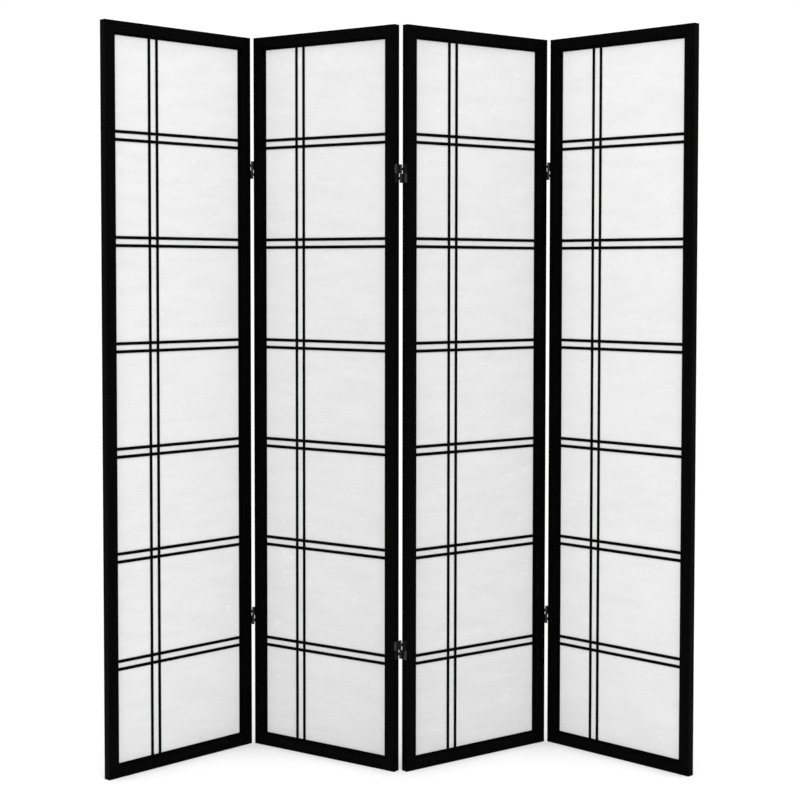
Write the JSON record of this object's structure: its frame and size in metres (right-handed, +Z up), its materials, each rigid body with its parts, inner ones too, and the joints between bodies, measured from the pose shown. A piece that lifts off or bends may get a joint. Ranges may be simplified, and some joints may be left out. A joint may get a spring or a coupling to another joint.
{
  "type": "folding room divider screen",
  "caption": "Folding room divider with black wooden frames, white translucent paper and a lattice of thin paired strips, its panels joined edge to edge by two-way hinges.",
  "frame": {"origin": "on the floor, at the centre of the screen's outline in plan, with the panels standing in the pictured zig-zag", "axes": "+Z up; the faces seen in the picture look towards -Y; +X runs from the left panel to the right panel"},
  "size_m": [1.3986, 0.3313, 1.784],
  "materials": {
    "frame": "black satin lacquer on softwood",
    "lattice": "black satin lacquer on thin strips",
    "paper": "matt white translucent fibre paper",
    "hinge": "black lacquered steel, semi-gloss",
    "screws": "blackened steel"
  },
  "bodies": {
    "panel_1": {"panel_1_left_stile": "frame", "panel_1_right_stile": "frame", "panel_1_top_rail": "frame", "panel_1_bottom_rail": "frame", "panel_1_paper": "paper", "panel_1_front_lattice": "lattice", "panel_1_back_lattice": "lattice", "panel_1_hinge_pins": "hinge", "panel_1_hinge_screws": "screws", "left_joint_lower_hinge_left_leaf": "hinge", "left_joint_lower_hinge_lower_link": "hinge", "left_joint_upper_hinge_left_leaf": "hinge", "left_joint_upper_hinge_lower_link": "hinge"},
    "panel_2": {"panel_2_left_stile": "frame", "panel_2_right_stile": "frame", "panel_2_top_rail": "frame", "panel_2_bottom_rail": "frame", "panel_2_paper": "paper", "panel_2_front_lattice": "lattice", "panel_2_back_lattice": "lattice", "panel_2_hinge_pins": "hinge", "panel_2_hinge_screws": "screws", "left_joint_lower_hinge_right_leaf": "hinge", "left_joint_lower_hinge_upper_link": "hinge", "left_joint_upper_hinge_right_leaf": "hinge", "left_joint_upper_hinge_upper_link": "hinge", "middle_joint_lower_hinge_left_leaf": "hinge", "middle_joint_lower_hinge_upper_link": "hinge", "middle_joint_upper_hinge_left_leaf": "hinge", "middle_joint_upper_hinge_upper_link": "hinge"},
    "panel_3": {"panel_3_left_stile": "frame", "panel_3_right_stile": "frame", "panel_3_top_rail": "frame", "panel_3_bottom_rail": "frame", "panel_3_paper": "paper", "panel_3_front_lattice": "lattice", "panel_3_back_lattice": "lattice", "panel_3_hinge_pins": "hinge", "panel_3_hinge_screws": "screws", "middle_joint_lower_hinge_right_leaf": "hinge", "middle_joint_lower_hinge_lower_link": "hinge", "middle_joint_upper_hinge_right_leaf": "hinge", "middle_joint_upper_hinge_lower_link": "hinge", "right_joint_lower_hinge_left_leaf": "hinge", "right_joint_lower_hinge_lower_link": "hinge", "right_joint_upper_hinge_left_leaf": "hinge", "right_joint_upper_hinge_lower_link": "hinge"},
    "panel_4": {"panel_4_left_stile": "frame", "panel_4_right_stile": "frame", "panel_4_top_rail": "frame", "panel_4_bottom_rail": "frame", "panel_4_paper": "paper", "panel_4_front_lattice": "lattice", "panel_4_back_lattice": "lattice", "panel_4_hinge_pins": "hinge", "panel_4_hinge_screws": "screws", "right_joint_lower_hinge_right_leaf": "hinge", "right_joint_lower_hinge_upper_link": "hinge", "right_joint_upper_hinge_right_leaf": "hinge", "right_joint_upper_hinge_upper_link": "hinge"}
  },
  "joints": [
    {"name": "left_joint_fold", "type": "hinge", "parent": "panel_2", "child": "panel_1", "pos_m": [-0.37306, 0.14661, 0], "axis": [0, 0, 1], "range_deg": [-81, 99]},
    {"name": "middle_joint_fold", "type": "hinge", "parent": "panel_2", "child": "panel_3", "pos_m": [0, -0.09971, 0], "axis": [0, 0, 1], "range_deg": [-72, 107]},
    {"name": "right_joint_fold", "type": "hinge", "parent": "panel_3", "child": "panel_4", "pos_m": [0.37306, 0.14661, 0], "axis": [0, 0, -1], "range_deg": [-81, 99]}
  ]
}
